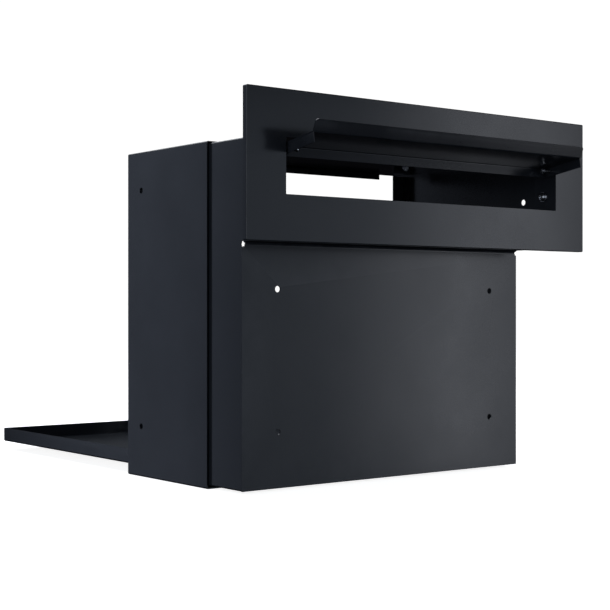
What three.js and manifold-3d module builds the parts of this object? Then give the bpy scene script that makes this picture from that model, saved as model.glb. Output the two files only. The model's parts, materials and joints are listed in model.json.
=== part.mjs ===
// Pass-through parcel box for a fence, wall or gate.
// A front plate with a lift-up flap covers a letter and parcel slot. A chute behind it leads into a
// two-part steel body whose rear shell slides on the front shell, so that its depth fits the wall.
// The rear of the body is closed by a bottom-hinged door with a cam lock.
//
// Millimetres, +Z up. x runs across the plate, y from the plate's face towards the rear door, and z up
// from the surface the body stands on. The flap and the door are modelled closed and swung open by the
// groups that hold them. The finished assembly is centred on its bounding box, standing on z = 0.

import * as THREE from 'three';
import { mergeVertices } from 'three/addons/utils/BufferGeometryUtils.js';
import Module from 'manifold-3d';

const wasm = await Module();
wasm.setup();

// Driving dimensions

const clearance = 0.3;
const roundSegments = 24;

const plate = { width: 500, bottom: 263.8, top: 418.3, sheet: 1.5, returnDepth: 7, bend: 1 };
const slot = { width: 402.4, bottom: 311.8, top: 369.4, corner: 0.8 };
const tab = { depth: 36, bottom: 312, top: 370 };

const frontShell = {
  width: 413.4, bottom: 3.4, top: 375.5, sheet: 1.5, corner: 2,
  neckFront: 1.8, neckBottom: 266.6, panelY: 69.7, rear: 222,
};
const floorBend = 5;
const reliefHole = { y: 70.2, z: 263.4, radius: 2.2, reach: 4 };
const panelHoles = { spacing: 320, low: 64, high: 216.6, radius: 3.5 };
const neckHole = { y: 56.6, z: 325.2, radius: 3.7 };

const rearShell = { width: 420, height: 377.5, sheet: 1.5, corner: 2, front: 131.3, rear: 298.4 };
const sideHoles = { y: 268.5, low: 58.5, high: 332.6, radius: 3.5 };
const depthTravel = { shorter: 40, longer: 30 };

const frame = {
  faceY: 280.1, sheet: 1.5, flangeWidth: 18.4, flangeBottom: 13, flangeTop: 373.5,
  legDepth: 15, legBottom: 13, legTop: 351.6,
};
const strike = { bottom: 367.2, width: 330, legDepth: 12 };
const sill = { top: 10.7, width: 380, legDepth: 16 };

const flap = {
  width: 396.6, face: -0.6, bottom: 312.6, top: 368.6, sheet: 1.2, depth: 11, bend: 2,
  lip: 13.2, lipAngle: 59, lipCorner: 3.5, pivotY: 5, pivotZ: 359, openAngle: -99,
};
const flapBolt = { radius: 1.5, headRadius: 2.9, headHeight: 2, innerEnd: 182.3, nutFlats: 5.5, nutHeight: 2.4 };
const flapSpacer = { radius: 3.1, thickness: 3.6 };

const plateScrew = { y: 22, z: 329.6, radius: 3, headRadius: 4.9, headHeight: 3, nutFlats: 10, nutHeight: 5 };
const crossRecess = { length: 5.2, width: 1.1, depth: 1.5 };
const plateWasher = { radius: 6, thickness: 1.2 };

const clampScrew = { x: 120, y: 176, radius: 2.5, headRadius: 4.8, headHeight: 2.8, nutFlats: 8, nutHeight: 4 };
const clampWasher = { radius: 7.5, thickness: 1.4 };

const door = {
  width: 408.8, bottom: 11.5, height: 358.2, depth: 18, sheet: 1.5, bend: 2, hingeWall: 13,
  pivotY: 293.4, pivotZ: 16.5, openAngle: -90,
};
const doorPin = { radius: 2, headRadius: 2.9, headHeight: 1.6 };
const hingePlate = { depth: 17, bottom: 3.5, height: 26, thickness: 2, corner: 4 };
const doorWasher = { radius: 5, thickness: 1 };

const lock = {
  fromTop: 24, barrelRadius: 9.5, bore: 6.4, headRadius: 11.5, headHeight: 2.2, barrelLength: 19.2,
  coreRadius: 6, coreLength: 22, squareSide: 6.5, nutFlats: 24, nutHeight: 4,
};
const cam = { thickness: 2, width: 14, reach: 27.5 };
const camScrew = { radius: 1.6, headRadius: 5, headHeight: 2.2 };
const keyway = { width: 1.6, height: 7, depth: 3 };

// Finishes

const finishes = {
  coat: { color: 0x3b3f45, roughness: 0.62, metalness: 0.35 },
  zinc: { color: 0xc6c9cc, roughness: 0.3, metalness: 0.9 },
  chrome: { color: 0xd9dcdf, roughness: 0.15, metalness: 1 },
  nylon: { color: 0x1c1d1f, roughness: 0.7, metalness: 0 },
};

// Solids: three.js makes each shape, manifold-3d cuts and joins them

function signedVolume(positions, triangles) {
  let total = 0;
  const a = new THREE.Vector3();
  const b = new THREE.Vector3();
  const c = new THREE.Vector3();
  for (let i = 0; i < triangles.length; i += 3) {
    a.fromArray(positions, triangles[i] * 3);
    b.fromArray(positions, triangles[i + 1] * 3);
    c.fromArray(positions, triangles[i + 2] * 3);
    total += a.dot(b.cross(c));
  }
  return total / 6;
}

function solid(geometry) {
  const bare = geometry.clone();
  bare.deleteAttribute('normal');
  bare.deleteAttribute('uv');
  const merged = mergeVertices(bare, 1e-4);
  const vertProperties = new Float32Array(merged.attributes.position.array);
  const triVerts = new Uint32Array(merged.index.array);
  if (signedVolume(vertProperties, triVerts) < 0) {
    for (let i = 0; i < triVerts.length; i += 3) {
      [triVerts[i], triVerts[i + 1]] = [triVerts[i + 1], triVerts[i]];
    }
  }
  return new wasm.Manifold(new wasm.Mesh({ numProp: 3, vertProperties, triVerts }));
}

function geometryOf(body) {
  const { vertProperties, triVerts } = body.getMesh();
  const geometry = new THREE.BufferGeometry();
  geometry.setAttribute('position', new THREE.Float32BufferAttribute(vertProperties, 3));
  geometry.setIndex(new THREE.Uint32BufferAttribute(triVerts, 1));
  geometry.computeVertexNormals();
  return geometry;
}

function join(...bodies) {
  return bodies.reduce((whole, next) => whole.add(next));
}

function cut(body, ...tools) {
  return tools.reduce((rest, tool) => rest.subtract(tool), body);
}

// The mesh of one sub-part
function piece(name, body, finish) {
  const mesh = new THREE.Mesh(geometryOf(body), new THREE.MeshStandardMaterial(finishes[finish]));
  mesh.name = name;
  return mesh;
}

// Shapes in the x, y and z directions

function block(xMin, xMax, yMin, yMax, zMin, zMax) {
  const geometry = new THREE.BoxGeometry(xMax - xMin, yMax - yMin, zMax - zMin);
  geometry.translate((xMin + xMax) / 2, (yMin + yMax) / 2, (zMin + zMax) / 2);
  return solid(geometry);
}

const axes = {
  x: new THREE.Vector3(1, 0, 0),
  y: new THREE.Vector3(0, 1, 0),
  z: new THREE.Vector3(0, 0, 1),
};

// A turned body: outline is [radius, distance along the axis] from the axis and back to it
function turned(outline, axis, origin, segments = roundSegments) {
  const geometry = new THREE.LatheGeometry(outline.map(([r, h]) => new THREE.Vector2(r, h)), segments);
  geometry.applyQuaternion(new THREE.Quaternion().setFromUnitVectors(axes.y, axis));
  geometry.translate(...origin);
  return solid(geometry);
}

function rod(radius, length, axis, origin, segments = roundSegments) {
  return turned([[0, 0], [radius, 0], [radius, length], [0, length]], axis, origin, segments);
}

// A washer or spacer from origin along the axis
function ring(radius, bore, length, axis, origin) {
  return turned([[bore, 0], [radius, 0], [radius, length], [bore, length], [bore, 0]], axis, origin);
}

// A chamfered hexagon nut
function hexNut(flats, height, bore, axis, origin) {
  const corner = flats / Math.sqrt(3);
  const chamfer = corner - flats / 2;
  const geometry = new THREE.CylinderGeometry(corner, corner, height, 6);
  geometry.translate(0, height / 2, 0);
  geometry.applyQuaternion(new THREE.Quaternion().setFromUnitVectors(axes.y, axis));
  geometry.translate(...origin);
  const limits = turned([
    [0, 0], [flats / 2, 0], [corner, chamfer], [corner, height - chamfer], [flats / 2, height], [0, height],
  ], axis, origin);
  const hole = rod(bore, height + 2, axis, origin.map((v, i) => v - axis.getComponent(i)));
  return cut(solid(geometry).intersect(limits), hole);
}

function roundedRect(xMin, xMax, yMin, yMax, radius) {
  const shape = new THREE.Shape();
  shape.moveTo(xMin + radius, yMin);
  shape.lineTo(xMax - radius, yMin);
  shape.absarc(xMax - radius, yMin + radius, radius, -Math.PI / 2, 0);
  shape.lineTo(xMax, yMax - radius);
  shape.absarc(xMax - radius, yMax - radius, radius, 0, Math.PI / 2);
  shape.lineTo(xMin + radius, yMax);
  shape.absarc(xMin + radius, yMax - radius, radius, Math.PI / 2, Math.PI);
  shape.lineTo(xMin, yMin + radius);
  shape.absarc(xMin + radius, yMin + radius, radius, Math.PI, 1.5 * Math.PI);
  return shape;
}

// An outline in x and z, extruded along y from yMin to yMax
function alongY(shape, yMin, yMax) {
  const geometry = new THREE.ExtrudeGeometry(shape, { depth: yMax - yMin, bevelEnabled: false, curveSegments: 5 });
  const turn = new THREE.Matrix4().makeBasis(axes.x, axes.z, axes.y.clone().negate());
  geometry.applyMatrix4(turn);
  geometry.translate(0, yMax, 0);
  return solid(geometry);
}

// An outline in y and z, extruded along x over a width centred on x = 0
function alongX(shape, width) {
  const geometry = new THREE.ExtrudeGeometry(shape, { depth: width, bevelEnabled: false, curveSegments: 5 });
  geometry.translate(0, 0, -width / 2);
  geometry.applyMatrix4(new THREE.Matrix4().makeBasis(axes.y, axes.z, axes.x));
  return solid(geometry);
}

// The outline of a folded sheet: its middle line runs through the given corners with rounded bends
function foldedSheet(corners, bend, sheet) {
  const points = corners.map(([u, v]) => new THREE.Vector2(u, v));
  const stations = [];
  const steps = 5;
  const addStation = (point, direction) => {
    const normal = new THREE.Vector2(-direction.y, direction.x).multiplyScalar(sheet / 2);
    stations.push([point.clone().add(normal), point.clone().sub(normal)]);
  };
  const last = points.length - 1;
  addStation(points[0], points[1].clone().sub(points[0]).normalize());
  for (let i = 1; i < last; i += 1) {
    const into = points[i].clone().sub(points[i - 1]).normalize();
    const out = points[i + 1].clone().sub(points[i]).normalize();
    const turn = Math.atan2(into.cross(out), into.dot(out));
    const setback = bend * Math.tan(Math.abs(turn) / 2);
    const start = points[i].clone().addScaledVector(into, -setback);
    const side = new THREE.Vector2(-into.y, into.x).multiplyScalar(Math.sign(turn) * bend);
    const centre = start.clone().add(side);
    for (let k = 0; k <= steps; k += 1) {
      const angle = (turn * k) / steps;
      const point = start.clone().rotateAround(centre, angle);
      addStation(point, into.clone().rotateAround(new THREE.Vector2(), angle));
    }
  }
  addStation(points[last], points[last].clone().sub(points[last - 1]).normalize());
  const left = stations.map(([a]) => a);
  const right = stations.map(([, b]) => b).reverse();
  return new THREE.Shape([...left, ...right]);
}

// A tray folded from sheet: a flat face at yFace and four walls that run to the rear (direction 1)
// or to the front (direction -1), with a rounded bend all round the face
function tray({ width, bottom, top, yFace, depth, sheet, bend, direction }) {
  const facing = direction > 0
    ? new THREE.Matrix4().makeBasis(axes.x.clone().negate(), axes.z, axes.y)
    : new THREE.Matrix4().makeBasis(axes.x, axes.z, axes.y.clone().negate());
  const hull = (inset, start, radius) => {
    const corner = radius + 0.4;
    const shape = roundedRect(-width / 2 + inset, width / 2 - inset, bottom + inset, top - inset, corner);
    const geometry = new THREE.ExtrudeGeometry(shape, {
      depth: depth + 10, bevelThickness: radius, bevelSize: radius, bevelOffset: -radius,
      bevelSegments: 4, curveSegments: 4,
    });
    geometry.translate(0, 0, radius + start);
    geometry.applyMatrix4(facing);
    geometry.translate(0, yFace, 0);
    return solid(geometry);
  };
  const beyond = yFace + direction * (depth + 40);
  const rim = yFace + direction * depth;
  const waste = block(-width, width, Math.min(rim, beyond), Math.max(rim, beyond), bottom - 50, top + 50);
  return cut(hull(0, 0, bend), hull(sheet, sheet, Math.max(bend - sheet, 0.2)), waste);
}

// Fastened parts and the two sides of the box

const sides = [
  { side: 'left', sign: -1 },
  { side: 'right', sign: 1 },
];

// A group that swings its children about a hinge line along x
function swung(y, z, degrees, children) {
  const hinge = new THREE.Group();
  hinge.position.set(0, y, z);
  hinge.rotation.x = THREE.MathUtils.degToRad(degrees);
  const closed = new THREE.Group();
  closed.position.set(0, -y, -z);
  closed.add(...children);
  hinge.add(closed);
  return hinge;
}

// Front plate: folded plate with the slot, and two tabs behind it that the neck is screwed to

const neckInner = frontShell.width / 2 - frontShell.sheet;
const tabOuter = neckInner - clearance;
const tabInner = tabOuter - plate.sheet;

function frontPlate() {
  const folded = tray({
    width: plate.width, bottom: plate.bottom, top: plate.top, yFace: 0, depth: plate.returnDepth,
    sheet: plate.sheet, bend: plate.bend, direction: 1,
  });
  const opening = alongY(
    roundedRect(-slot.width / 2, slot.width / 2, slot.bottom, slot.top, slot.corner), -1, plate.sheet + 1,
  );
  const tabs = sides.map(({ sign }) => {
    const edges = [sign * tabInner, sign * tabOuter].sort((a, b) => a - b);
    const blank = block(...edges, plate.sheet - 0.4, tab.depth, tab.bottom, tab.top);
    return cut(
      blank,
      crossHole(sign, flapBolt.radius + clearance, flap.pivotY, flap.pivotZ),
      crossHole(sign, plateScrew.radius + clearance, plateScrew.y, plateScrew.z),
    );
  });
  return join(cut(folded, opening), ...tabs);
}

// A hole through one side of the box
function crossHole(sign, radius, y, z) {
  const start = sign < 0 ? -rearShell.width / 2 - 5 : frontShell.width / 2 - 20;
  return rod(radius, 25, axes.x, [start, y, z]);
}

// Front shell: top, sides and bottom, with the neck's side walls running forward to the plate

function frontShellBody() {
  const { width, bottom, top, sheet, corner, neckFront, neckBottom, panelY, rear } = frontShell;
  const wrapFront = panelY + sheet + clearance;
  const outline = roundedRect(-width / 2, width / 2, bottom, top, corner);
  const inside = roundedRect(-width / 2 + sheet, width / 2 - sheet, bottom + sheet, top - sheet, corner - sheet);
  const wrap = cut(alongY(outline, neckFront, rear), alongY(inside, neckFront - 1, rear + 1));
  const belowNeck = block(-width, width, neckFront - 5, wrapFront, bottom - 5, neckBottom);
  const holes = sides.flatMap(({ sign }) => [
    crossHole(sign, reliefHole.radius, reliefHole.y, reliefHole.z),
    crossHole(sign, neckHole.radius, neckHole.y, neckHole.z),
    crossHole(sign, flapBolt.radius + clearance, flap.pivotY, flap.pivotZ),
    crossHole(sign, plateScrew.radius + clearance, plateScrew.y, plateScrew.z),
    rod(clampScrew.radius + clearance, 10, axes.z, [sign * clampScrew.x, clampScrew.y, top - 5]),
  ]);
  return cut(wrap, belowNeck, ...holes);
}

// Front panel: the lower front of the body and the neck's floor, folded from one sheet

function frontPanel() {
  const { width, bottom, sheet, neckFront, neckBottom, panelY } = frontShell;
  const middle = sheet / 2;
  const profile = foldedSheet([
    [panelY + middle, bottom],
    [panelY + middle, neckBottom + middle],
    [neckFront + clearance, neckBottom + middle],
  ], floorBend, sheet);
  const between = width - 2 * (sheet + clearance);
  const fullWidth = block(-width / 2, width / 2, panelY, panelY + sheet, bottom, neckBottom - floorBend - 1);
  const holes = sides.flatMap(({ sign }) => [
    rod(panelHoles.radius, 10, axes.y, [sign * panelHoles.spacing / 2, panelY - 5, panelHoles.low]),
    rod(panelHoles.radius, 10, axes.y, [sign * panelHoles.spacing / 2, panelY - 5, panelHoles.high]),
    rod(reliefHole.radius, 30, axes.x, [
      sign < 0 ? -width / 2 - 30 + reliefHole.reach : width / 2 - reliefHole.reach, reliefHole.y, reliefHole.z,
    ]),
  ]);
  return cut(join(alongX(profile, between), fullWidth), ...holes);
}

// Rear shell: slides over the front shell, with a slot for each clamp screw

function rearShellBody() {
  const { width, height, sheet, corner, front, rear } = rearShell;
  const outline = roundedRect(-width / 2, width / 2, 0, height, corner);
  const inside = roundedRect(-width / 2 + sheet, width / 2 - sheet, sheet, height - sheet, corner - sheet);
  const wrap = cut(alongY(outline, front, rear), alongY(inside, front - 1, rear + 1));
  const holes = sides.flatMap(({ sign }) => [
    rod(sideHoles.radius, 20, axes.x, [sign * width / 2 - 10, sideHoles.y, sideHoles.low]),
    rod(sideHoles.radius, 20, axes.x, [sign * width / 2 - 10, sideHoles.y, sideHoles.high]),
  ]);
  const slots = sides.map(({ sign }) => {
    const radius = clampScrew.radius + 0.5;
    const start = clampScrew.y - depthTravel.longer - radius;
    const end = clampScrew.y + depthTravel.shorter + radius;
    const x = sign * clampScrew.x;
    return join(
      block(x - radius, x + radius, start + radius, end - radius, height - 5, height + 5),
      rod(radius, 10, axes.z, [x, start + radius, height - 5]),
      rod(radius, 10, axes.z, [x, end - radius, height - 5]),
    );
  });
  return cut(wrap, ...holes, ...slots);
}

// Door frame: side flanges, lock strike and sill, folded angles inside the rear shell

const shellInner = rearShell.width / 2 - rearShell.sheet - clearance;

function sideFlange(sign) {
  const face = [sign * (shellInner - frame.flangeWidth), sign * shellInner].sort((a, b) => a - b);
  const leg = [sign * (shellInner - frame.sheet), sign * shellInner].sort((a, b) => a - b);
  return cut(
    join(
      block(...face, frame.faceY - frame.sheet, frame.faceY, frame.flangeBottom, frame.flangeTop),
      block(...leg, frame.faceY - frame.legDepth, frame.faceY, frame.legBottom, frame.legTop),
    ),
    rod(sideHoles.radius, 30, axes.x, [sign * shellInner - 15, sideHoles.y, sideHoles.low]),
    rod(sideHoles.radius, 30, axes.x, [sign * shellInner - 15, sideHoles.y, sideHoles.high]),
  );
}

function strikeStrip() {
  const ceiling = rearShell.height - rearShell.sheet - clearance;
  const half = frame.sheet / 2;
  const profile = foldedSheet([
    [frame.faceY - half, strike.bottom],
    [frame.faceY - half, ceiling - half],
    [frame.faceY + strike.legDepth, ceiling - half],
  ], 1.5, frame.sheet);
  return alongX(profile, strike.width);
}

function doorSill() {
  const floor = rearShell.sheet + clearance;
  const half = frame.sheet / 2;
  const profile = foldedSheet([
    [rearShell.rear - half, sill.top],
    [rearShell.rear - half, floor + half],
    [rearShell.rear - sill.legDepth, floor + half],
  ], 1.5, frame.sheet);
  return alongX(profile, sill.width);
}

// Flap: a shallow tray, open at the bottom, where the face turns out into a finger lip

// What the rounding of one of the lip's outer corners takes away
function lipCornerWaste(sign, edge, lean) {
  const radius = flap.lipCorner;
  const half = flap.width / 2;
  const square = block(-radius, 1, -3, 3, -1, radius);
  const waste = cut(square, rod(radius, 8, axes.y, [-radius, -4, radius]));
  const placed = sign > 0 ? waste : waste.mirror([1, 0, 0]);
  return placed
    .rotate([-THREE.MathUtils.radToDeg(lean), 0, 0])
    .translate(sign * half, edge.y, edge.z);
}

function flapBody() {
  const { width, face, bottom, top, sheet, depth, bend, lip, lipAngle } = flap;
  const middle = face + sheet / 2;
  const lean = THREE.MathUtils.degToRad(lipAngle);
  const profile = foldedSheet([
    [depth, top - sheet / 2],
    [middle, top - sheet / 2],
    [middle, bottom],
    [middle - lip * Math.sin(lean), bottom - lip * Math.cos(lean)],
  ], bend - sheet / 2, sheet);
  const edge = { y: middle - lip * Math.sin(lean), z: bottom - lip * Math.cos(lean) };
  const corners = sides.flatMap(({ sign }) => lipCornerWaste(sign, edge, lean));
  const folded = cut(alongX(profile, width), ...corners);
  const wallShape = new THREE.Shape();
  wallShape.moveTo(middle, bottom);
  wallShape.lineTo(depth, bottom);
  wallShape.lineTo(depth, top - sheet / 2);
  wallShape.lineTo(face + bend, top - sheet / 2);
  wallShape.lineTo(middle, top - bend);
  const wall = alongX(wallShape, sheet);
  const walls = sides.map(({ sign }) => cut(
    wall.translate(sign * (width - sheet) / 2, 0, 0),
    rod(flapBolt.radius + clearance, 40, axes.x, [sign * width / 2 - 20, flap.pivotY, flap.pivotZ]),
  ));
  return join(folded, ...walls);
}

// Door: a tray with the hinge wall cut shallower so that it clears the frame as it swings

function doorTray() {
  const top = door.bottom + door.height;
  const folded = tray({
    width: door.width, bottom: door.bottom, top, yFace: rearShell.rear, depth: door.depth,
    sheet: door.sheet, bend: door.bend, direction: -1,
  });
  const hingeWallCut = block(
    -door.width, door.width, rearShell.rear - door.depth - 1, rearShell.rear - door.hingeWall,
    door.bottom - 1, door.bottom + door.depth - door.hingeWall,
  );
  const pinHoles = sides.map(({ sign }) => rod(
    doorPin.radius + clearance, 20, axes.x, [sign * door.width / 2 - 10, door.pivotY, door.pivotZ],
  ));
  const lockHole = rod(
    lock.barrelRadius + clearance, 20, axes.y, [0, rearShell.rear - 10, top - lock.fromTop],
  );
  return cut(folded, hingeWallCut, ...pinHoles, lockHole);
}

// Fasteners on the two sides

// The cross recess in a screw head that lies along x, with its top at x
function headRecess(x, y, z) {
  const { length, width, depth } = crossRecess;
  return [
    block(x - depth, x + depth, y - length / 2, y + length / 2, z - width / 2, z + width / 2),
    block(x - depth, x + depth, y - width / 2, y + width / 2, z - length / 2, z + length / 2),
  ];
}

function neckFasteners({ side, sign }) {
  const outward = axes.x.clone().multiplyScalar(sign);
  const inward = outward.clone().negate();
  const wall = frontShell.width / 2;
  const headStart = wall + clearance;
  const flapNutStart = flapBolt.innerEnd + 1 + flapBolt.nutHeight;
  const flapSide = flap.width / 2;
  const bolt = turned([
    [0, 0],
    [flapBolt.radius, 0],
    [flapBolt.radius, headStart - flapBolt.innerEnd],
    [flapBolt.headRadius, headStart - flapBolt.innerEnd],
    [flapBolt.headRadius, headStart - flapBolt.innerEnd + 0.6 * flapBolt.headHeight],
    [0.6 * flapBolt.headRadius, headStart - flapBolt.innerEnd + flapBolt.headHeight],
    [0, headStart - flapBolt.innerEnd + flapBolt.headHeight],
  ], outward, [sign * flapBolt.innerEnd, flap.pivotY, flap.pivotZ]);
  const spacerStart = tabInner - (tabInner - flapSide - flapSpacer.thickness) / 2;
  const washerStart = tabInner - clearance;
  const screwHeadStart = washerStart - plateWasher.thickness - clearance;
  const plateNutEnd = headStart + plateScrew.nutHeight;
  const shank = plateNutEnd + 1 - screwHeadStart;
  const screw = cut(
    turned([
      [0, 0],
      [plateScrew.radius, 0],
      [plateScrew.radius, shank],
      [plateScrew.headRadius, shank],
      [plateScrew.headRadius, shank + 0.35 * plateScrew.headHeight],
      [0.86 * plateScrew.headRadius, shank + 0.75 * plateScrew.headHeight],
      [0.5 * plateScrew.headRadius, shank + plateScrew.headHeight],
      [0, shank + plateScrew.headHeight],
    ], inward, [sign * (plateNutEnd + 1), plateScrew.y, plateScrew.z]),
    ...headRecess(sign * (screwHeadStart - plateScrew.headHeight), plateScrew.y, plateScrew.z),
  );
  const flapAxis = (x) => [sign * x, flap.pivotY, flap.pivotZ];
  const screwAxis = (x) => [sign * x, plateScrew.y, plateScrew.z];
  return [
    piece(`flap_bolt_${side}`, bolt, 'zinc'),
    piece(`flap_nut_${side}`, hexNut(
      flapBolt.nutFlats, flapBolt.nutHeight, flapBolt.radius + clearance, inward, flapAxis(flapNutStart),
    ), 'zinc'),
    piece(`flap_spacer_${side}`, ring(
      flapSpacer.radius, flapBolt.radius + clearance, flapSpacer.thickness, inward, flapAxis(spacerStart),
    ), 'nylon'),
    piece(`plate_screw_${side}`, screw, 'zinc'),
    piece(`plate_washer_${side}`, ring(
      plateWasher.radius, plateScrew.radius + clearance, plateWasher.thickness, inward, screwAxis(washerStart),
    ), 'zinc'),
    piece(`plate_nut_${side}`, hexNut(
      plateScrew.nutFlats, plateScrew.nutHeight, plateScrew.radius + clearance, inward, screwAxis(plateNutEnd),
    ), 'zinc'),
  ];
}

// Clamp screws: through the rear shell's slots into the front shell's top
function clampFasteners({ side, sign }) {
  const x = sign * clampScrew.x;
  const washerBottom = rearShell.height + clearance;
  const headBottom = washerBottom + clampWasher.thickness + clearance;
  const nutTop = frontShell.top - frontShell.sheet - clearance;
  const shankBottom = nutTop - clampScrew.nutHeight - 1.5;
  const up = axes.z;
  const screw = turned([
    [0, 0],
    [clampScrew.radius, 0],
    [clampScrew.radius, headBottom - shankBottom],
    [clampScrew.headRadius, headBottom - shankBottom],
    [clampScrew.headRadius, headBottom - shankBottom + 0.5 * clampScrew.headHeight],
    [0.5 * clampScrew.headRadius, headBottom - shankBottom + clampScrew.headHeight],
    [0, headBottom - shankBottom + clampScrew.headHeight],
  ], up, [x, clampScrew.y, shankBottom]);
  return [
    piece(`clamp_screw_${side}`, screw, 'zinc'),
    piece(`clamp_washer_${side}`, ring(
      clampWasher.radius, clampScrew.radius + clearance, clampWasher.thickness, up, [x, clampScrew.y, washerBottom],
    ), 'zinc'),
    piece(`clamp_nut_${side}`, hexNut(
      clampScrew.nutFlats, clampScrew.nutHeight, clampScrew.radius + clearance, up,
      [x, clampScrew.y, nutTop - clampScrew.nutHeight],
    ), 'zinc'),
  ];
}

// Door hinge: a plate on the shell's wall and a pin that the door's side wall turns on
function doorHinge({ side, sign }) {
  const plateOuter = shellInner;
  const plateInner = plateOuter - hingePlate.thickness;
  const inward = axes.x.clone().multiplyScalar(-sign);
  const bore = doorPin.radius + clearance;
  const { bottom } = hingePlate;
  const outline = new THREE.Shape();
  outline.moveTo(rearShell.rear - hingePlate.depth, bottom);
  outline.lineTo(rearShell.rear - 1, bottom);
  outline.lineTo(rearShell.rear - 1, bottom + hingePlate.height - hingePlate.corner);
  outline.lineTo(rearShell.rear - 1 - hingePlate.corner, bottom + hingePlate.height);
  outline.lineTo(rearShell.rear - hingePlate.depth, bottom + hingePlate.height);
  const slab = alongX(outline, hingePlate.thickness)
    .translate(sign * (plateOuter + plateInner) / 2, 0, 0);
  const wallInner = door.width / 2 - door.sheet;
  const headStart = plateOuter - (wallInner - clearance);
  const pin = turned([
    [0, 0.2],
    [doorPin.radius, 0.2],
    [doorPin.radius, headStart],
    [doorPin.headRadius, headStart],
    [doorPin.headRadius, headStart + 0.5 * doorPin.headHeight],
    [0.6 * doorPin.headRadius, headStart + doorPin.headHeight],
    [0, headStart + doorPin.headHeight],
  ], inward, [sign * plateOuter, door.pivotY, door.pivotZ]);
  const washerGap = plateInner - door.width / 2;
  const washerStart = plateInner - (washerGap - doorWasher.thickness) / 2;
  const axisPoint = (x) => [sign * x, door.pivotY, door.pivotZ];
  return [
    piece(`door_hinge_plate_${side}`, cut(slab, rod(bore, 10, inward, axisPoint(plateOuter + 4))), 'zinc'),
    piece(`door_pin_${side}`, pin, 'zinc'),
    piece(`door_washer_${side}`, ring(
      doorWasher.radius, bore, doorWasher.thickness, inward, axisPoint(washerStart),
    ), 'nylon'),
  ];
}

// Cam lock, modelled on the closed door with its face to the rear

const lockHeight = door.bottom + door.height - lock.fromTop;
const towardsFront = axes.y.clone().negate();

function lockParts() {
  const face = rearShell.rear;
  const headBack = face + clearance;
  const at = (y) => [0, y, lockHeight];
  const barrelEnd = lock.headHeight + lock.barrelLength;
  const barrel = turned([
    [lock.bore, 0],
    [lock.headRadius - 1, 0],
    [lock.headRadius, 1],
    [lock.headRadius, lock.headHeight],
    [lock.barrelRadius, lock.headHeight],
    [lock.barrelRadius, barrelEnd],
    [lock.bore, barrelEnd],
    [lock.bore, 0],
  ], towardsFront, at(headBack + lock.headHeight), 32);
  const nutStart = face - door.sheet - clearance;
  const nut = hexNut(lock.nutFlats, lock.nutHeight, lock.barrelRadius + clearance, towardsFront, at(nutStart));
  const coreFace = headBack + lock.headHeight - 0.4;
  const coreEnd = coreFace - lock.coreLength;
  const squareEnd = coreEnd - clearance - cam.thickness - clearance;
  const half = lock.squareSide / 2;
  const core = cut(
    join(
      rod(lock.coreRadius, lock.coreLength, towardsFront, at(coreFace)),
      block(-half, half, squareEnd, coreEnd + 1, lockHeight - half, lockHeight + half),
    ),
    block(
      -keyway.width / 2, keyway.width / 2, coreFace - keyway.depth, coreFace + 1,
      lockHeight - keyway.height / 2, lockHeight + keyway.height / 2,
    ),
    rod(camScrew.radius + 0.2, 10, axes.y, at(squareEnd - 1)),
  );
  const camOutline = roundedRect(-cam.width / 2, cam.reach, -cam.width / 2, cam.width / 2, 5);
  const camHole = half + clearance;
  const camPlate = cut(
    alongY(camOutline, coreEnd - clearance - cam.thickness, coreEnd - clearance).translate(0, 0, lockHeight),
    block(
      -camHole, camHole, coreEnd - 10, coreEnd + 10, lockHeight - camHole, lockHeight + camHole,
    ),
  );
  const screwStart = squareEnd - clearance;
  const screw = turned([
    [0, -6],
    [camScrew.radius, -6],
    [camScrew.radius, 0],
    [camScrew.headRadius, 0],
    [camScrew.headRadius, 0.5 * camScrew.headHeight],
    [0.5 * camScrew.headRadius, camScrew.headHeight],
    [0, camScrew.headHeight],
  ], towardsFront, at(screwStart));
  return [
    piece('lock_barrel', barrel, 'chrome'),
    piece('lock_nut', nut, 'zinc'),
    piece('lock_core', core, 'chrome'),
    piece('lock_cam', camPlate, 'zinc'),
    piece('lock_cam_screw', screw, 'zinc'),
  ];
}

// Assembly

const assembly = new THREE.Group();
assembly.add(
  piece('front_plate', frontPlate(), 'coat'),
  piece('front_shell', frontShellBody(), 'coat'),
  piece('front_panel', frontPanel(), 'coat'),
  piece('rear_shell', rearShellBody(), 'coat'),
  piece('strike_strip', strikeStrip(), 'coat'),
  piece('door_sill', doorSill(), 'coat'),
  ...sides.map(({ side, sign }) => piece(`side_flange_${side}`, sideFlange(sign), 'coat')),
  ...sides.flatMap(neckFasteners),
  ...sides.flatMap(clampFasteners),
  ...sides.flatMap(doorHinge),
  swung(flap.pivotY, flap.pivotZ, flap.openAngle, [piece('flap', flapBody(), 'coat')]),
  swung(door.pivotY, door.pivotZ, door.openAngle, [piece('door_tray', doorTray(), 'coat'), ...lockParts()]),
);

// Stand the assembly on the middle of its footprint
const extent = new THREE.Box3().setFromObject(assembly, true);
assembly.position.y = -(extent.min.y + extent.max.y) / 2;

const dropBox = new THREE.Group();
dropBox.add(assembly);

export default dropBox;
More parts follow.
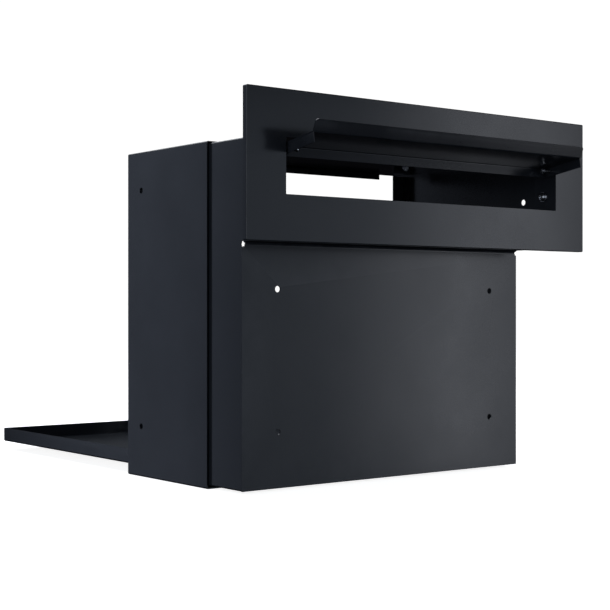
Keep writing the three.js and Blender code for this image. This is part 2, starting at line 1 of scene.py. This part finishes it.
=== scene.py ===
import bpy
import json
import math
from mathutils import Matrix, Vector


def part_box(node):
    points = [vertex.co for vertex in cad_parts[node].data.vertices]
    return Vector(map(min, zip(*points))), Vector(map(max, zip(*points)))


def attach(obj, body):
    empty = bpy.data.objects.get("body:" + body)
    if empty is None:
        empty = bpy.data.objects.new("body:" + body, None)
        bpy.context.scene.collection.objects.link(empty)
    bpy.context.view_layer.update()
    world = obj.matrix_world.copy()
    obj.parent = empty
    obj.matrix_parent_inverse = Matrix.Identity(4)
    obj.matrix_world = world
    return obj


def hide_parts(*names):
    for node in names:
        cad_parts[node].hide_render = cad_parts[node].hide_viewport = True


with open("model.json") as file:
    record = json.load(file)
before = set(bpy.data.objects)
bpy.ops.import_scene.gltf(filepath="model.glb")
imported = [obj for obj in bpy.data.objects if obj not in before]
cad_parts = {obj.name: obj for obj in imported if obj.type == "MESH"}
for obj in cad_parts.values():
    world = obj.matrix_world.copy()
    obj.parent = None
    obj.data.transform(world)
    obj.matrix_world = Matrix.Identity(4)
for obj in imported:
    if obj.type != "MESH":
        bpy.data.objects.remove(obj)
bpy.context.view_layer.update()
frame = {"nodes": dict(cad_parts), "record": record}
print("frame loaded:", len(frame["nodes"]), "nodes")


# Camera: about level with the middle of the body, from the front left

cameraSet = {
    "azimuth": 37.8, "distance": 1.673, "behindFace": 0.2285, "height": 0.1996,
    "lens": 80, "sensorWidth": 36,
}


def addCamera():
    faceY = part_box("front_plate")[0][1]
    turn = math.radians(cameraSet["azimuth"])
    look = Vector((math.sin(turn), math.cos(turn), 0))
    aim = Vector((0, faceY + cameraSet["behindFace"], cameraSet["height"]))
    data = bpy.data.cameras.new("camera")
    data.lens = cameraSet["lens"]
    data.sensor_width = cameraSet["sensorWidth"]
    camera = bpy.data.objects.new("camera", data)
    camera.location = aim - look * cameraSet["distance"]
    camera.rotation_euler = look.to_track_quat("-Z", "Y").to_euler()
    bpy.context.scene.collection.objects.link(camera)
    bpy.context.scene.camera = camera


addCamera()
print("camera placed")


# Materials

def addNode(tree, kind, **values):
    node = tree.nodes.new(kind)
    for name, value in values.items():
        if name in node.inputs:
            node.inputs[name].default_value = value
        else:
            setattr(node, name, value)
    return node


def startMaterial(name):
    material = bpy.data.materials.new(name)
    material.use_nodes = True
    tree = material.node_tree
    shader = tree.nodes["Principled BSDF"]
    place = tree.nodes.new("ShaderNodeTexCoord")
    return material, tree, shader, place


def addNoise(tree, place, size, detail=2.0, roughness=0.5):
    noise = addNode(tree, "ShaderNodeTexNoise", Scale=1 / size, Detail=detail, Roughness=roughness)
    tree.links.new(place.outputs["Object"], noise.inputs["Vector"])
    return noise


def addRamp(tree, source, low, high, start=0.3, end=0.7):
    ramp = tree.nodes.new("ShaderNodeValToRGB")
    ramp.color_ramp.elements[0].color = low
    ramp.color_ramp.elements[0].position = start
    ramp.color_ramp.elements[1].color = high
    ramp.color_ramp.elements[1].position = end
    tree.links.new(source, ramp.inputs["Fac"])
    return ramp


def addRange(tree, source, low, high, start=0.3, end=0.7):
    span = tree.nodes.new("ShaderNodeMapRange")
    span.inputs["From Min"].default_value = start
    span.inputs["From Max"].default_value = end
    span.inputs["To Min"].default_value = low
    span.inputs["To Max"].default_value = high
    tree.links.new(source, span.inputs["Value"])
    return span


powderCoat = {
    "deep": (0.0135, 0.0155, 0.0200, 1),
    "light": (0.0165, 0.0190, 0.0240, 1),
    # The lighter colour on the next line is a painted highlight for the outer edges
    "paintedEdgeHighlight": (0.034, 0.037, 0.043, 1),
    "roughness": 0.21, "roughnessSpread": 0.025,
    "grainSize": 0.0011, "grainHeight": 0.00006, "grainStrength": 0.2,
    "peelSize": 0.004, "peelHeight": 0.00012, "peelStrength": 0.08,
    "cloudSize": 0.07, "cloudShare": 0.35,
    # The next line places the painted edge highlight and sets how patchy it is
    "highlightStart": 0.53, "highlightEnd": 0.62, "highlightLeast": 0.15, "patchStart": 0.4, "patchEnd": 0.62,
}


def makePowderCoat():
    material, tree, shader, place = startMaterial("powderCoat")
    link = tree.links.new
    grain = addNoise(tree, place, powderCoat["grainSize"])
    peel = addNoise(tree, place, powderCoat["peelSize"], 1.0, 0.4)
    cloud = addNoise(tree, place, powderCoat["cloudSize"], 3.0, 0.55)
    blend = addNode(tree, "ShaderNodeMix", data_type="FLOAT")
    blend.inputs[0].default_value = powderCoat["cloudShare"]
    link(grain.outputs["Fac"], blend.inputs[2])
    link(cloud.outputs["Fac"], blend.inputs[3])
    base = addRamp(tree, blend.outputs[0], powderCoat["deep"], powderCoat["light"])
    # Painted highlight: the outer edges are made a little lighter, in patches, standing in for light
    # catching them
    shape = tree.nodes.new("ShaderNodeNewGeometry")
    edge = addRange(
        tree, shape.outputs["Pointiness"], 0, 1, powderCoat["highlightStart"], powderCoat["highlightEnd"],
    )
    patches = addRange(
        tree, cloud.outputs["Fac"], powderCoat["highlightLeast"], 1,
        powderCoat["patchStart"], powderCoat["patchEnd"],
    )
    highlightMask = addNode(tree, "ShaderNodeMath", operation="MULTIPLY")
    link(edge.outputs["Result"], highlightMask.inputs[0])
    link(patches.outputs["Result"], highlightMask.inputs[1])
    coat = addNode(tree, "ShaderNodeMix", data_type="RGBA")
    link(highlightMask.outputs[0], coat.inputs[0])
    link(base.outputs["Color"], coat.inputs[6])
    coat.inputs[7].default_value = powderCoat["paintedEdgeHighlight"]
    link(coat.outputs[2], shader.inputs["Base Color"])
    rough = addRange(
        tree, cloud.outputs["Fac"], powderCoat["roughness"] - powderCoat["roughnessSpread"],
        powderCoat["roughness"] + powderCoat["roughnessSpread"],
    )
    link(rough.outputs["Result"], shader.inputs["Roughness"])
    soft = addNode(
        tree, "ShaderNodeBump", Strength=powderCoat["peelStrength"], Distance=powderCoat["peelHeight"],
    )
    link(peel.outputs["Fac"], soft.inputs["Height"])
    bump = addNode(
        tree, "ShaderNodeBump", Strength=powderCoat["grainStrength"], Distance=powderCoat["grainHeight"],
    )
    link(grain.outputs["Fac"], bump.inputs["Height"])
    link(soft.outputs["Normal"], bump.inputs["Normal"])
    link(bump.outputs["Normal"], shader.inputs["Normal"])
    return material


zincPlate = {
    "bright": (0.74, 0.75, 0.77, 1), "dull": (0.46, 0.47, 0.50, 1), "smooth": 0.16, "rough": 0.32,
    "grainSize": 0.0006, "grainHeight": 0.00003, "grainStrength": 0.12, "cloudSize": 0.004,
}


def makeZinc():
    material, tree, shader, place = startMaterial("zincSteel")
    link = tree.links.new
    spangle = addNoise(tree, place, zincPlate["grainSize"], 3.0, 0.6)
    cloud = addNoise(tree, place, zincPlate["cloudSize"])
    colour = addRamp(tree, spangle.outputs["Fac"], zincPlate["dull"], zincPlate["bright"])
    link(colour.outputs["Color"], shader.inputs["Base Color"])
    shader.inputs["Metallic"].default_value = 1
    rough = addRange(tree, cloud.outputs["Fac"], zincPlate["smooth"], zincPlate["rough"])
    link(rough.outputs["Result"], shader.inputs["Roughness"])
    bump = addNode(
        tree, "ShaderNodeBump", Strength=zincPlate["grainStrength"], Distance=zincPlate["grainHeight"],
    )
    link(spangle.outputs["Fac"], bump.inputs["Height"])
    link(bump.outputs["Normal"], shader.inputs["Normal"])
    return material


chromePlate = {"colour": (0.78, 0.79, 0.81, 1), "smooth": 0.05, "rough": 0.12, "hazeSize": 0.004}


def makeChrome():
    material, tree, shader, place = startMaterial("lockChrome")
    link = tree.links.new
    haze = addNoise(tree, place, chromePlate["hazeSize"])
    rough = addRange(tree, haze.outputs["Fac"], chromePlate["smooth"], chromePlate["rough"])
    link(rough.outputs["Result"], shader.inputs["Roughness"])
    shader.inputs["Base Color"].default_value = chromePlate["colour"]
    shader.inputs["Metallic"].default_value = 1
    return material


nylonBlack = {
    "deep": (0.012, 0.012, 0.013, 1), "light": (0.022, 0.022, 0.024, 1), "roughness": 0.5,
    "grainSize": 0.0005, "grainHeight": 0.00004, "grainStrength": 0.2,
}


def makeNylon():
    material, tree, shader, place = startMaterial("nylon")
    link = tree.links.new
    grain = addNoise(tree, place, nylonBlack["grainSize"])
    colour = addRamp(tree, grain.outputs["Fac"], nylonBlack["deep"], nylonBlack["light"])
    link(colour.outputs["Color"], shader.inputs["Base Color"])
    bump = addNode(
        tree, "ShaderNodeBump", Strength=nylonBlack["grainStrength"], Distance=nylonBlack["grainHeight"],
    )
    link(grain.outputs["Fac"], bump.inputs["Height"])
    link(bump.outputs["Normal"], shader.inputs["Normal"])
    shader.inputs["Roughness"].default_value = nylonBlack["roughness"]
    return material


finishes = {
    "powder_coat": makePowderCoat(),
    "zinc_steel": makeZinc(),
    "lock_chrome": makeChrome(),
    "nylon": makeNylon(),
}
slots = {part["node"]: part["material_slot"] for part in frame["record"]["subparts"]}
bodyOf = {
    node: body for body, nodes in frame["record"]["behaviour"]["bodies"].items() for node in nodes
}
print("materials set")


# Pieces: each node's copy has its flat faces whole and its edges broken

edgeBreak = {
    "front_plate": 0.00030, "front_shell": 0.00025, "front_panel": 0.00025, "rear_shell": 0.00025,
    "strike_strip": 0.00025, "door_sill": 0.00025, "side_flange_left": 0.00025,
    "side_flange_right": 0.00025, "flap": 0.00025, "door_tray": 0.00030,
}
smallEdge = 0.00012  # for fasteners and the lock
sheetWork = {"mergeGap": 0.000002, "flatAngle": 0.6, "smoothAngle": 32, "edgeSegments": 2}


def selectOnly(piece):
    bpy.ops.object.select_all(action="DESELECT")
    piece.select_set(True)
    bpy.context.view_layer.objects.active = piece


def refine(name):
    piece = bpy.data.objects.new(name + "_piece", frame["nodes"][name].data.copy())
    bpy.context.scene.collection.objects.link(piece)
    selectOnly(piece)
    bpy.ops.object.mode_set(mode="EDIT")
    bpy.ops.mesh.select_all(action="SELECT")
    bpy.ops.mesh.remove_doubles(threshold=sheetWork["mergeGap"])
    bpy.ops.mesh.dissolve_limited(angle_limit=math.radians(sheetWork["flatAngle"]))
    bpy.ops.object.mode_set(mode="OBJECT")
    bpy.ops.object.shade_smooth_by_angle(angle=math.radians(sheetWork["smoothAngle"]))
    bevel = piece.modifiers.new("edges", "BEVEL")
    bevel.width = edgeBreak.get(name, smallEdge)
    bevel.segments = sheetWork["edgeSegments"]
    bevel.limit_method = "ANGLE"
    bevel.angle_limit = math.radians(sheetWork["smoothAngle"])
    bpy.ops.object.modifier_apply(modifier="edges")
    facing = piece.modifiers.new("facing", "WEIGHTED_NORMAL")
    facing.mode = "FACE_AREA"
    facing.weight = 100
    facing.keep_sharp = True
    bpy.ops.object.modifier_apply(modifier="facing")
    piece.data.materials.clear()
    piece.data.materials.append(finishes[slots[name]])
    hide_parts(name)
    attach(piece, bodyOf[name])


for nodeName in frame["nodes"]:
    refine(nodeName)
print("pieces refined:", len(frame["nodes"]))


# Studio: a pale floor and room that only the camera sees, and soft panels of light

floorSet = {
    "size": 40, "colour": (0.9, 0.9, 0.9, 1), "roughness": 0.9,
    "glowNear": 0.90, "glowFar": 1.02, "glowStart": 0.35, "glowEnd": 1.5,
}


def addFloor():
    bpy.ops.mesh.primitive_plane_add(size=floorSet["size"], location=(0, 0, 0))
    floor = bpy.context.object
    floor.name = "floor"
    material, tree, shader, place = startMaterial("floorPaint")
    shader.inputs["Base Color"].default_value = floorSet["colour"]
    shader.inputs["Roughness"].default_value = floorSet["roughness"]
    shader.inputs["Emission Color"].default_value = (1, 1, 1, 1)
    reach = addNode(tree, "ShaderNodeVectorMath", operation="LENGTH")
    tree.links.new(place.outputs["Object"], reach.inputs[0])
    glow = addRange(
        tree, reach.outputs["Value"], floorSet["glowNear"], floorSet["glowFar"],
        floorSet["glowStart"], floorSet["glowEnd"],
    )
    tree.links.new(glow.outputs["Result"], shader.inputs["Emission Strength"])
    floor.data.materials.append(material)
    floor.visible_glossy = False
    floor.visible_diffuse = False
    floor.visible_shadow = False


roomSet = {"radius": 18, "segments": 48, "rings": 24, "glow": 1.05}


def addRoom():
    bpy.ops.mesh.primitive_uv_sphere_add(
        segments=roomSet["segments"], ring_count=roomSet["rings"], radius=roomSet["radius"],
        location=(0, 0, 0),
    )
    room = bpy.context.object
    room.name = "room"
    material = bpy.data.materials.new("roomPaint")
    material.use_nodes = True
    shader = material.node_tree.nodes["Principled BSDF"]
    shader.inputs["Base Color"].default_value = (0, 0, 0, 1)
    shader.inputs["Emission Color"].default_value = (1, 1, 1, 1)
    shader.inputs["Emission Strength"].default_value = roomSet["glow"]
    room.data.materials.append(material)
    room.visible_glossy = False
    room.visible_diffuse = False
    room.visible_shadow = False


# Azimuth turns from straight in front towards the right, and lift raises a panel above the horizontal
strip = {"height": 0.56, "distance": 1.6, "width": 0.14, "tall": 1.52, "colour": (0.97, 0.99, 1.06)}
panels = {
    "stripInner": {**strip, "azimuth": 41, "power": 0.42},
    "stripMiddle": {**strip, "azimuth": 46, "power": 1.00},
    "stripOuter": {**strip, "azimuth": 51, "power": 0.56},
    "stripFar": {**strip, "azimuth": 56, "power": 0.12},
    "frontFill": {
        "azimuth": 18, "height": 0.18, "distance": 1.8, "width": 2.4, "tall": 1.06,
        "colour": (0.88, 1, 1.18), "power": 3.2,
    },
    "leftFill": {
        "azimuth": -68, "height": 0.5, "distance": 2.5, "width": 2.0, "tall": 1.6,
        "colour": (0.92, 1, 1.12), "power": 16,
    },
    "backLeftFill": {
        "azimuth": -147.7, "height": 0.35, "distance": 4.0, "width": 0.78, "tall": 2.6,
        "colour": (0.88, 1, 1.28), "power": 2.4,
    },
    "rearFill": {
        "azimuth": 180, "lift": 55, "height": 0.2, "distance": 2.8, "width": 3.0, "tall": 2.4,
        "colour": (0.96, 1, 1.06), "power": 50,
    },
    "rightFill": {
        "azimuth": 102, "height": 0.9, "distance": 2.5, "width": 1.5, "tall": 1.6,
        "colour": (0.96, 1, 1.06), "power": 14,
    },
}
aimBehindFace = 0.1  # the panels stand round a point this far behind the plate's face


def addPanel(name, facts):
    turn = math.radians(facts["azimuth"])
    lift = math.radians(facts.get("lift", 0))
    centre = Vector((0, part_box("front_plate")[0][1] + aimBehindFace, facts["height"]))
    away = Vector((math.sin(turn) * math.cos(lift), -math.cos(turn) * math.cos(lift), math.sin(lift)))
    data = bpy.data.lights.new(name, "AREA")
    data.shape = "RECTANGLE"
    data.size = facts["width"]
    data.size_y = facts["tall"]
    data.energy = facts["power"]
    data.color = facts["colour"]
    light = bpy.data.objects.new(name, data)
    light.location = centre + away * facts["distance"]
    light.rotation_euler = (-away).to_track_quat("-Z", "Y").to_euler()
    light.visible_camera = False
    bpy.context.scene.collection.objects.link(light)


sky = {"up": (0.052, 0.058, 0.068, 1), "down": (0.004, 0.004, 0.005, 1), "horizon": 0, "upper": 0.1}


def addWorld():
    world = bpy.data.worlds.new("world")
    bpy.context.scene.world = world
    world.use_nodes = True
    tree = world.node_tree
    place = tree.nodes.new("ShaderNodeTexCoord")
    axes = tree.nodes.new("ShaderNodeSeparateXYZ")
    tree.links.new(place.outputs["Generated"], axes.inputs["Vector"])
    fade = addRamp(tree, axes.outputs["Z"], sky["down"], sky["up"], sky["horizon"], sky["upper"])
    tree.links.new(fade.outputs["Color"], tree.nodes["Background"].inputs["Color"])


addFloor()
addRoom()
addWorld()
for panelName, panelFacts in panels.items():
    addPanel(panelName, panelFacts)
bpy.context.scene.view_settings.view_transform = "Standard"
print("studio set")
